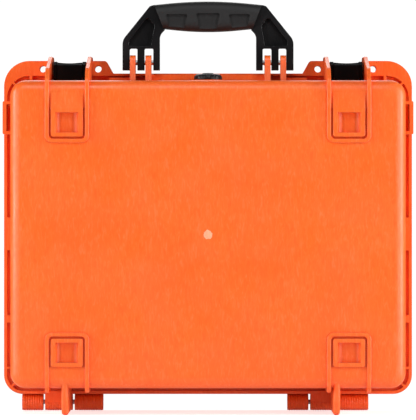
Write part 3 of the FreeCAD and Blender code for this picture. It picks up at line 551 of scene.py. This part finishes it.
def turned(
    profile: Sequence[tuple[float, float]], axis: Axis, centre: Point, segments: int = 48,
    flute: Callable[[float, float], float] | None = None,
) -> list[list[Point]]:
    """Rows of points round an axis.

    Args:
        profile: pairs of distance along the axis and radius.
        axis: the axis it is turned about.
        centre: a point on the axis, where distance is zero.
        segments: points round each row.
        flute: gives a change of radius from the angle and the distance, or None.

    Returns:
        One row of points for each pair of the profile.
    """
    rows = []
    for along, radius in profile:
        row = []
        for k in range(segments):
            angle = math.tau * k / segments
            r = radius + (flute(angle, along) if flute else 0.0)
            local = [along, r * math.cos(angle), r * math.sin(angle)]
            offset = local[-axis.value:] + local[:-axis.value] if axis.value else local
            row.append(tuple(c + o for c, o in zip(centre, offset)))
        rows.append(row)
    return rows


def middle(low: Vector, high: Vector) -> Vector:
    """The middle of a box."""
    return (low + high) / 2


def node_box(name: str) -> tuple[Vector, Vector]:
    """The lowest and highest corner of a CAD node."""
    low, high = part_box(name)
    return Vector(low), Vector(high)


def dress(node: str, finish: Finish) -> None:
    """Gives a CAD node its finish.

    Args:
        node: the CAD node's name.
        finish: its finish.
    """
    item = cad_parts[node]
    item.data.materials.clear()
    item.data.materials.append(PAINT.get(finish))
    item.data.polygons.foreach_set("material_index", [0] * len(item.data.polygons))
    log.info("%s dressed as %s", node, finish.name)


# ---- the case ----------------------------------------------------------------------------------------------------


@dataclass
class Shells:
    """The two mouldings and the mark of the injection gate on the base's face."""

    gate_height: float = 0.177
    gate_radius: float = 4.3 * MM
    gate_rise: float = 0.5 * MM
    pad_rise: float = 2.2 * MM

    def build(self) -> None:
        """Dresses the shells and makes the gate mark."""
        dress("base_shell", ORANGE_SHELL)
        dress("lid_shell", ORANGE_SHELL)
        self.gate_mark()

    def gate_mark(self) -> None:
        """A torn stub in a shallow ring, where the plastic entered the mould."""
        rng = random.Random(7)
        face_y = node_box("base_shell")[0].y + self.pad_rise
        profile = [(0.3, 1.0), (0.55, 0.93), (0.35, 0.8), (0.3, 0.66), (0.9, 0.55), (0.75, 0.32), (1.0, 0.1)]
        rows = []
        segments = 36
        for rise, share in profile:
            row = []
            for k in range(segments):
                angle = math.tau * k / segments
                jag = 1 + rng.uniform(-0.12, 0.12)
                row.append((
                    self.gate_radius * share * jag * math.cos(angle),
                    face_y - self.gate_rise * rise * (1 + rng.uniform(-0.2, 0.2)),
                    self.gate_height + self.gate_radius * share * jag * math.sin(angle),
                ))
            rows.append(row)
        foot = [(x * 1.02, face_y + 0.2 * MM, self.gate_height + (z - self.gate_height) * 1.02) for x, _, z in rows[0]]
        builder = MeshBuilder()
        builder.rows([foot] + rows)
        builder.piece("gate_mark", "base", [GATE_STUB], smooth=60)


@dataclass
class HingeRibs:
    """Fine rings moulded round each hinge barrel, for the fingers to grip."""

    barrel_radius: float = 8.2 * MM
    pitch: float = 2.4 * MM
    rise: float = 0.28 * MM
    spans: tuple[tuple[str, float, float], ...] = (
        ("lid", 0.0, 21.0 * MM), ("base", 23.0 * MM, 50.5 * MM), ("lid", 52.5 * MM, 81.0 * MM),
    )

    def build(self) -> None:
        """Makes the rings of each barrel, on the body that the barrel belongs to."""
        for side in Side:
            low, high = node_box(f"hinge_pin_{side.value}")
            centre = middle(low, high)
            for number, (body, start, stop) in enumerate(self.spans):
                builder = MeshBuilder()
                builder.rows(turned(self.profile(stop - start), Axis.X, (low.x + start, centre.y, centre.z), 64), caps=False)
                builder.piece(f"knuckle_ribs_{side.value}_{number}", body, [ORANGE_SHELL], smooth=30)

    def profile(self, length: float) -> list[tuple[float, float]]:
        """Outline of the rings along a barrel, closed through the barrel's wall.

        Args:
            length: the barrel's length.

        Returns:
            Pairs of distance and radius, the last the same as the first.
        """
        count = int((length - 1.6 * MM) / self.pitch)
        start = (length - count * self.pitch) / 2
        inner, foot, top = self.barrel_radius - 0.6 * MM, self.barrel_radius - 0.05 * MM, self.barrel_radius + self.rise
        points = [(start, inner)]
        for k in range(count):
            here = start + k * self.pitch
            points += [(here + share * self.pitch, r) for share, r in ((0.0, foot), (0.3, foot), (0.45, top), (0.8, top), (0.95, foot))]
        return points + [(start + count * self.pitch, foot), (start + count * self.pitch, inner), points[0]]


@dataclass
class Seal:
    """The rubber cord in the lid's groove, with a rounded face towards the base's tongue."""

    corner: float = 15.2 * MM
    steps: int = 12
    section: int = 14

    def build(self) -> None:
        """Sweeps a rounded section round the groove."""
        low, high = node_box("gasket")
        half_y = (high.y - low.y) / 2
        centre = middle(low, high)
        half_width = 2.2 * MM
        path = rounded_rectangle((high.x - low.x) / 2 - half_width, (high.z - low.z) / 2 - half_width, self.corner, self.steps)
        rows = []
        count = len(path)
        for i, (x, z) in enumerate(path):
            before, after = path[i - 1], path[(i + 1) % count]
            along = Vector((after[0] - before[0], after[1] - before[1]))
            along.normalize()
            out = Vector((along.y, -along.x))
            row = []
            for k in range(self.section):
                angle = math.tau * k / self.section
                c, s = math.cos(angle), math.sin(angle)
                across = half_width * math.copysign(abs(c) ** 0.7, c)
                depth = half_y * math.copysign(abs(s) ** 0.8, s)
                row.append((centre.x + x + out.x * across, centre.y + depth, centre.z + z + out.y * across))
            rows.append(row)
        builder = MeshBuilder()
        builder.rows(rows + [rows[0]], caps=False)
        made = builder.piece("seal_cord", "lid", [SEAL_RUBBER], smooth=80)
        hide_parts("gasket")


@dataclass
class Hardware:
    """The latches, pins, handle and valve, which keep their CAD shapes."""

    black: tuple[str, ...] = ("handle_frame", "valve_body", "valve_nut", "valve_knob")
    steel: tuple[str, ...] = ("clasp_pin", "lever_pin", "hinge_pin", "handle_pin")

    def build(self) -> None:
        """Dresses every node."""
        for node in self.black:
            dress(node, BLACK_NYLON)
        for side in Side:
            dress(f"clasp_{side.value}", LATCH_NYLON)
            dress(f"lever_{side.value}", LATCH_NYLON)
        for kind in self.steel:
            for side in Side:
                dress(f"{kind}_{side.value}", PIN_STEEL)
        dress("handle_grip", GRIP_RUBBER)
        dress("valve_seal", SEAL_RUBBER)
        dress("valve_clip", PIN_STEEL)


@dataclass
class FoamInsert:
    """The pocketed foam in the base and the egg-crate foam in the lid."""

    wave: float = 27.0 * MM
    wave_depth: float = 11.0 * MM
    corner: float = 12.0 * MM
    across: int = 112
    up: int = 86

    def build(self) -> None:
        """Makes both foams."""
        self.tray()
        self.egg_crate()

    def tray(self) -> None:
        """The base's foam: the CAD block with its cut edges softened."""
        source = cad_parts["base_foam"]
        mesh = source.data.copy()
        mesh.name = "pocket_foam"
        mesh.materials.clear()
        mesh.materials.append(PAINT.get(CASE_FOAM))
        made = bpy.data.objects.new("pocket_foam", mesh)
        bpy.context.scene.collection.objects.link(made)
        weld = made.modifiers.new("weld", "WELD")
        weld.merge_threshold = 0.01 * MM
        bevel = made.modifiers.new("cut_edges", "BEVEL")
        bevel.width = 1.2 * MM
        bevel.segments = 2
        bevel.limit_method = "ANGLE"
        bevel.angle_limit = math.radians(50)
        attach(made, "base")
        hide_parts("base_foam")

    def egg_crate(self) -> None:
        """The lid's foam: rows of rounded peaks that hold the supplies down."""
        low, high = node_box("lid_foam")
        centre = middle(low, high)
        half_x, half_z = (high.x - low.x) / 2, (high.z - low.z) / 2

        def inside(x: float, z: float) -> tuple[float, float]:
            """Pulls a point into the rounded outline."""
            over_x, over_z = abs(x) - (half_x - self.corner), abs(z) - (half_z - self.corner)
            if over_x <= 0 or over_z <= 0:
                return x, z
            reach = math.hypot(over_x, over_z)
            if reach <= self.corner:
                return x, z
            pull = self.corner / reach
            return (
                math.copysign(half_x - self.corner + over_x * pull, x),
                math.copysign(half_z - self.corner + over_z * pull, z),
            )

        def surface(x: float, z: float) -> float:
            """Height of the waved face at a place."""
            peaks = 0.5 + 0.5 * math.cos(math.tau * x / self.wave) * math.cos(math.tau * z / self.wave)
            rim = min(1.0, min(half_x - abs(x), half_z - abs(z)) / (9 * MM))
            lift = peaks * max(0.0, rim)
            return low.y + self.wave_depth * (1 - lift)

        builder = MeshBuilder()
        front, back = [], []
        for j in range(self.up + 1):
            front_row, back_row = [], []
            for i in range(self.across + 1):
                x, z = inside(half_x * (2 * i / self.across - 1), half_z * (2 * j / self.up - 1))
                front_row.append((centre.x + x, surface(x, z), centre.z + z))
                back_row.append((centre.x + x, high.y, centre.z + z))
            front.append(front_row)
            back.append(back_row)
        builder.rows(front, close_row=False, caps=False)
        rim_front = front[0][:] + [r[-1] for r in front[1:]] + front[-1][-2::-1] + [r[0] for r in front[-2:0:-1]]
        rim_back = [(x, high.y, z) for x, _, z in rim_front]
        builder.rows([rim_front, rim_back], caps=False)
        builder.add(rim_back, [tuple(range(len(rim_back)))])
        made = builder.piece("egg_crate_foam", "lid", [CASE_FOAM], smooth=70)
        weld = made.modifiers.new("weld", "WELD")
        weld.merge_threshold = 0.01 * MM
        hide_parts("lid_foam")


@dataclass
class Supplies:
    """Everything in the foam's pockets."""

    roll_turns: int = 15
    spool_core: float = 12.0 * MM

    def build(self) -> None:
        """Makes each supply."""
        self.bandages()
        self.tapes()
        self.dressings()
        self.plasters()
        self.blankets()
        self.bottle()
        self.cold_pack()
        dress("tweezers", TOOL_STEEL)

    def bandages(self) -> None:
        """Rolled crepe bandages: each one a strip wound on itself."""
        low, high = node_box("bandage_rolls")
        radius = (high.z - low.z) / 2
        builder = MeshBuilder()
        for k in range(4):
            x = low.x + radius + (high.x - low.x - 2 * radius) * k / 3
            self.wind(builder, x, middle(low, high).z, low.y, high.y, radius, 3.0 * MM, self.roll_turns, 40 + k)
        made = builder.piece("crepe_bandages", "base", [GAUZE], smooth=50)
        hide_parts("bandage_rolls")

    def wind(
        self, builder: MeshBuilder, x: float, z: float, low_y: float, high_y: float, outer: float, inner: float,
        turns: int, seed: int,
    ) -> None:
        """Winds a strip into a roll.

        Args:
            builder: takes the faces.
            x: the roll's middle.
            z: the roll's middle.
            low_y: one edge of the strip.
            high_y: the other edge.
            outer: the roll's radius.
            inner: radius of the hole.
            turns: turns of the strip.
            seed: start of its unevenness.
        """
        rng = random.Random(seed)
        per_turn = 40
        pitch = (outer - inner) / turns
        phase = rng.uniform(0, math.tau)
        rows = []
        lift = 0.0
        for k in range((turns - 1) * per_turn + 1):
            angle = math.tau * k / per_turn
            r = inner + pitch * angle / math.tau
            if k % 5 == 0:
                lift = rng.uniform(-0.5, 0.0) * MM
            c, s = math.cos(angle + phase), math.sin(angle + phase)
            near, far = r, r + pitch * 0.82
            rows.append([
                (x + near * c, low_y, z + near * s), (x + far * c, low_y, z + far * s),
                (x + far * c, high_y + lift, z + far * s), (x + near * c, high_y + lift, z + near * s),
            ])
        builder.rows(rows)

    def tapes(self) -> None:
        """Spools of cloth tape, each wound on a moulded tube."""
        low, high = node_box("tape_spools")
        radius = (high.z - low.z) / 2
        builder = MeshBuilder()
        tape_high = high.y - 0.8 * MM
        for k in range(2):
            x = low.x + radius + (high.x - low.x - 2 * radius) * k
            z = middle(low, high).z
            bore = self.spool_core
            tube = [(low.y, bore), (low.y, bore + 1.6 * MM), (high.y, bore + 1.6 * MM), (high.y, bore), (low.y, bore)]
            builder.rows(turned(tube, Axis.Y, (x, 0, z), 64), caps=False, slot=1)
            layers = 9
            profile = [(low.y + 0.4 * MM, bore + 1.7 * MM), (low.y + 0.4 * MM, radius)]
            for n in range(layers, 0, -1):
                out = bore + 1.7 * MM + (radius - bore - 1.7 * MM) * n / layers
                profile += [(tape_high, out), (tape_high, out - 0.3 * MM), (tape_high - 0.35 * MM, out - 0.6 * MM)]
            profile += [(tape_high, bore + 1.7 * MM), (low.y + 0.4 * MM, bore + 1.7 * MM)]
            builder.rows(turned(profile, Axis.Y, (x, 0, z), 64), caps=False)
        made = builder.piece("cloth_tape", "base", [TAPE_CLOTH, TAPE_CORE], smooth=35)
        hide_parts("tape_spools")

    def pillow(
        self, builder: MeshBuilder, low: Vector, high: Vector, crimp: float, seed: int, power: float = 2.6,
        teeth: bool = False,
    ) -> None:
        """A sealed pouch with something soft in it and a flat crimped border.

        Args:
            builder: takes the faces.
            low: lowest corner of its space.
            high: highest corner of its space.
            crimp: width of the flat border.
            seed: start of its unevenness.
            power: how full its edges are.
            teeth: whether its short edges are cut in a zigzag.
        """
        rng = random.Random(seed)
        bumps = [
            (rng.uniform(-0.8, 0.8), rng.uniform(-0.8, 0.8), rng.uniform(0.15, 0.5), rng.uniform(-0.12, 0.1))
            for _ in range(9)
        ]
        centre = middle(low, high)
        half = (high - low) / 2
        nx, nz = 44, 36

        def crown(u: float, v: float) -> float:
            """Share of the pouch's half thickness at a place."""
            inner_u = min(1.0, abs(u) / (1 - crimp / half.x))
            inner_v = min(1.0, abs(v) / (1 - crimp / half.z))
            full = (max(0.0, 1 - inner_u ** power) * max(0.0, 1 - inner_v ** power)) ** 0.5
            dent = sum(d * math.exp(-((u - a) ** 2 + (v - b) ** 2) / w ** 2) for a, b, w, d in bumps)
            return full * (0.9 + dent)

        def skin(sign: int) -> list[list[Point]]:
            """One face of the pouch."""
            rows = []
            for j in range(nz + 1):
                row = []
                for i in range(nx + 1):
                    u, v = 2 * i / nx - 1, 2 * j / nz - 1
                    edge = 0.0
                    if teeth and j in (0, nz):
                        edge = -math.copysign(1.2 * MM, v) * (i % 2)
                    thick = max(0.25 * MM, half.y * crown(u, v))
                    row.append((centre.x + half.x * u, centre.y + sign * thick, centre.z + half.z * v + edge))
                rows.append(row)
            return rows

        front, back = skin(1), skin(-1)
        builder.rows(front, close_row=False, caps=False)
        builder.rows(back, close_row=False, caps=False)

        def rim(rows: list[list[Point]]) -> list[Point]:
            """The outline of a face, in order."""
            return rows[0][:] + [r[-1] for r in rows[1:]] + rows[-1][-2::-1] + [r[0] for r in rows[-2:0:-1]]

        builder.rows([rim(front), rim(back)], caps=False)

    def finish_pouch(self, made: bpy.types.Object, node: str) -> None:
        weld = made.modifiers.new("weld", "WELD")
        weld.merge_threshold = 0.01 * MM
        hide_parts(node)

    def dressings(self) -> None:
        """Sterile dressings, each sealed in a paper pouch."""
        low, high = node_box("dressing_packs")
        builder = MeshBuilder()
        deep = (high.y - low.y) / 3
        for k in range(3):
            near = Vector((low.x, low.y + deep * k, low.z))
            far = Vector((high.x, low.y + deep * (k + 1) - 0.3 * MM, high.z))
            self.pillow(builder, near, far, 7 * MM, 11 + k, teeth=True)
        made = builder.piece("sterile_dressings", "base", [POUCH_PAPER], smooth=60)
        self.finish_pouch(made, "dressing_packs")

    def cold_pack(self) -> None:
        """An instant cold pack in a film pouch."""
        low, high = node_box("cold_pack")
        builder = MeshBuilder()
        self.pillow(builder, low, high, 6 * MM, 31, power=3.4)
        made = builder.piece("instant_cold_pack", "base", [COLD_POUCH], smooth=60)
        self.finish_pouch(made, "cold_pack")

    def blankets(self) -> None:
        """Rescue blankets folded flat, with the edges of their folds showing."""
        low, high = node_box("rescue_blankets")
        builder = MeshBuilder()
        deep = (high.y - low.y) / 2
        leaves = 7
        for k in range(2):
            base = low.y + deep * k
            rng = random.Random(60 + k)
            for n in range(leaves):
                near, far = base + deep * 0.97 * n / leaves, base + deep * 0.97 * (n + 0.86) / leaves
                inset = rng.uniform(0.2, 1.8) * MM
                half_x, half_z = (high.x - low.x) / 2 - inset, (high.z - low.z) / 2 - rng.uniform(0.2, 1.6) * MM
                outline = rounded_rectangle(half_x, half_z, 3 * MM, 4)
                centre = middle(low, high)
                rows = []
                for depth, shrink in ((near, 0.9), (near + 0.2 * (far - near), 0.0), (far - 0.2 * (far - near), 0.0), (far, 0.9)):
                    scale_x, scale_z = 1 - shrink * MM / half_x, 1 - shrink * MM / half_z
                    rows.append([(centre.x + x * scale_x, depth, centre.z + z * scale_z) for x, z in outline])
                builder.rows(rows)
        made = builder.piece("foil_blankets", "base", [BLANKET_FOIL], smooth=50)
        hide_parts("rescue_blankets")

    def plasters(self) -> None:
        """A carton of plasters with a tucked flap and a printed band."""
        low, high = node_box("plaster_box")
        builder = MeshBuilder()
        centre = middle(low, high)
        half = (high - low) / 2
        outline = rounded_rectangle(half.x, half.z, 0.8 * MM, 3)
        levels = [(-half.y, 0.6), (-half.y + 0.6 * MM, 0.0), (half.y - 0.6 * MM, 0.0), (half.y, 0.6)]
        builder.rows([
            [(centre.x + x * (1 - s * MM / half.x), centre.y + d, centre.z + z * (1 - s * MM / half.z)) for x, z in outline]
            for d, s in levels
        ])
        band = rounded_rectangle(half.x - 9 * MM, 14 * MM, 2 * MM, 4)
        shift = -half.z * 0.25
        builder.rows([
            [(centre.x + x, high.y - 0.1 * MM, centre.z + shift + z) for x, z in band],
            [(centre.x + x, high.y + 0.12 * MM, centre.z + shift + z) for x, z in band],
        ], slot=1)
        flap = rounded_rectangle(half.x - 1.5 * MM, 9 * MM, 4 * MM, 6)
        builder.rows([
            [(centre.x + x, high.y - 0.1 * MM, high.z - 10.5 * MM + z) for x, z in flap],
            [(centre.x + x, high.y + 0.35 * MM, high.z - 10.5 * MM + z) for x, z in flap],
        ])
        made = builder.piece("plaster_carton", "base", [CARTON, CARTON_BAND], smooth=30)
        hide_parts("plaster_box")

    def bottle(self) -> None:
        """A bottle of antiseptic with a label, and its ribbed cap."""
        low, high = node_box("antiseptic_bottle")
        centre = middle(low, high)
        radius = (high.z - low.z) / 2
        origin = (low.x, centre.y, centre.z)
        length = high.x - low.x
        body = length - 8 * MM
        profile = [
            (2.0 * MM, 2 * MM), (1.2 * MM, radius * 0.62), (0.0, radius * 0.72), (0.4 * MM, radius * 0.86),
            (1.6 * MM, radius * 0.95), (4 * MM, radius), (body - 16 * MM, radius), (body - 11 * MM, radius * 0.98),
            (body - 6 * MM, radius * 0.86), (body - 2.5 * MM, radius * 0.62), (body - 0.5 * MM, 9.4 * MM),
            (body, 9.0 * MM), (length - 0.3 * MM, 8.9 * MM), (length - 0.1 * MM, 7.5 * MM),
        ]
        builder = MeshBuilder()
        builder.rows(turned(profile, Axis.X, origin, 64))
        label = [(9 * MM, radius - 0.3 * MM), (9 * MM, radius + 0.12 * MM), (body - 21 * MM, radius + 0.12 * MM), (body - 21 * MM, radius - 0.3 * MM)]
        builder.rows(turned(label, Axis.X, origin, 64), slot=1)
        made = builder.piece("antiseptic_flask", "base", [BOTTLE_PLASTIC, LABEL_PAPER], smooth=40)
        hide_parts("antiseptic_bottle")
        low, high = node_box("bottle_cap")
        cap = (high.z - low.z) / 2
        depth = high.x - low.x

        def ribs(angle: float, along: float) -> float:
            """Fine ribs round the cap's skirt."""
            skirt = 1.5 * MM < along < depth - 3 * MM
            return -0.45 * MM * (0.5 + 0.5 * math.cos(angle * 44)) if skirt else -0.1 * MM

        profile = [
            (0.0, 9.3 * MM), (0.0, cap - 0.3 * MM), (1.0 * MM, cap), (1.6 * MM, cap), (depth - 3.1 * MM, cap),
            (depth - 2.5 * MM, cap), (depth - 1.0 * MM, cap - 0.6 * MM), (depth - 0.2 * MM, cap - 2 * MM),
            (depth, cap - 3.2 * MM), (depth - 0.3 * MM, cap - 5 * MM),
        ]
        builder = MeshBuilder()
        builder.rows(turned(profile, Axis.X, (low.x, centre.y, centre.z), 176, ribs))
        made = builder.piece("ribbed_cap", "base", [CAP_PLASTIC], smooth=40)
        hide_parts("bottle_cap")


# ---- the studio --------------------------------------------------------------------------------------------------


@dataclass
class Studio:
    """A pale lit sheet, soft lights and the camera."""

    bench_back: float = 0.036
    bench_front: float = -0.75
    bench_half: float = 1.1
    floor_drop: float = 0.17
    floor_back: float = 1.5
    camera_distance: float = 3.434
    camera_height: float = 0.201
    lens: float = 302.1
    ambient: float = 0.08

    def build(self) -> None:
        """Makes everything that isn't the case."""
        self.ground()
        self.lights()
        self.camera()

    def ground(self) -> None:
        """The bench top at height zero, which ends behind the case so that its lid can swing down, and a floor."""
        half, front, back, drop = self.bench_half, self.bench_front, self.bench_back, -self.floor_drop
        self.sheet("bench_top", [(-half, front, 0), (half, front, 0), (half, back, 0), (-half, back, 0)])
        self.sheet("bench_end", [(-half, back, 0), (half, back, 0), (half, back, drop), (-half, back, drop)])
        far = self.floor_back
        self.sheet("floor", [(-half, back, drop), (half, back, drop), (half, far, drop), (-half, far, drop)])

    def sheet(self, name: str, corners: Sequence[Point]) -> None:
        """A flat stage piece.

        Args:
            name: its name.
            corners: its four corners, in order.
        """
        mesh = bpy.data.meshes.new(name)
        mesh.from_pydata(corners, [], [(0, 1, 2, 3)])
        mesh.materials.append(PAINT.get(BENCH_SHEET))
        made = bpy.data.objects.new(name, mesh)
        bpy.context.scene.collection.objects.link(made)

    def lamp(self, name: str, place: Point, size: tuple[float, float], watts: float) -> None:
        """A soft box aimed at the case.

        Args:
            name: the lamp's name.
            place: where it stands.
            size: its width and height.
            watts: its power.
        """
        light = bpy.data.lights.new(name, "AREA")
        light.shape = "RECTANGLE"
        light.size, light.size_y = size
        light.energy = watts
        made = bpy.data.objects.new(name, light)
        made.location = place
        aim = Vector((0.0, -0.02, 0.19)) - Vector(place)
        made.rotation_euler = aim.to_track_quat("-Z", "Y").to_euler()
        bpy.context.scene.collection.objects.link(made)

    def lights(self) -> None:
        """A soft box above the camera, a tall one on each side and a white surround."""
        self.lamp("key", (-0.2, -1.9, 2.4), (1.5, 0.9), 27)
        self.lamp("left_strip", (-1.9, -1.9, 0.4), (0.35, 1.7), 18)
        self.lamp("right_strip", (1.9, -1.9, 0.4), (0.35, 1.7), 23)
        self.lamp("left_box", (-2.3, -0.5, 0.5), (0.5, 1.7), 44)
        self.lamp("right_box", (2.3, -0.5, 0.5), (0.5, 1.7), 52)
        self.lamp("back_box", (0.0, 1.9, 1.6), (1.6, 1.0), 18)
        world = bpy.data.worlds.new("studio")
        world.use_nodes = True
        tree = world.node_tree
        # The surround is white to look at, and lights the case only dimly, so that hollows stay dark.
        seen = add_node(tree, "LightPath").outputs["Is Camera Ray"]
        strength = add_node(tree, "MapRange", inputs={3: self.ambient, 4: 1.05}, links={0: seen})
        sky = tree.nodes["Background"]
        sky.inputs["Color"].default_value = (1.0, 1.0, 1.0, 1.0)
        tree.links.new(strength.outputs[0], sky.inputs["Strength"])
        bpy.context.scene.world = world

    def camera(self) -> None:
        """The camera, level, square to the base's face."""
        face_y = node_box("base_shell")[0].y + 2.2 * MM
        data = bpy.data.cameras.new("camera")
        data.lens = self.lens
        data.sensor_width = 36.0
        data.clip_end = 60.0
        made = bpy.data.objects.new("camera", data)
        made.location = (0.0, face_y - self.camera_distance, self.camera_height)
        made.rotation_euler = (math.radians(90), 0.0, 0.0)
        bpy.context.scene.collection.objects.link(made)
        scene = bpy.context.scene
        scene.camera = made
        scene.view_settings.view_transform = "Standard"


def main() -> None:
    """Builds the classes in order."""
    Studio().build()
    for assembly in (Shells(), HingeRibs(), Seal(), Hardware(), FoamInsert(), Supplies()):
        assembly.build()
        log.info("%s done", type(assembly).__name__)


if __name__ == "__main__":
    main()
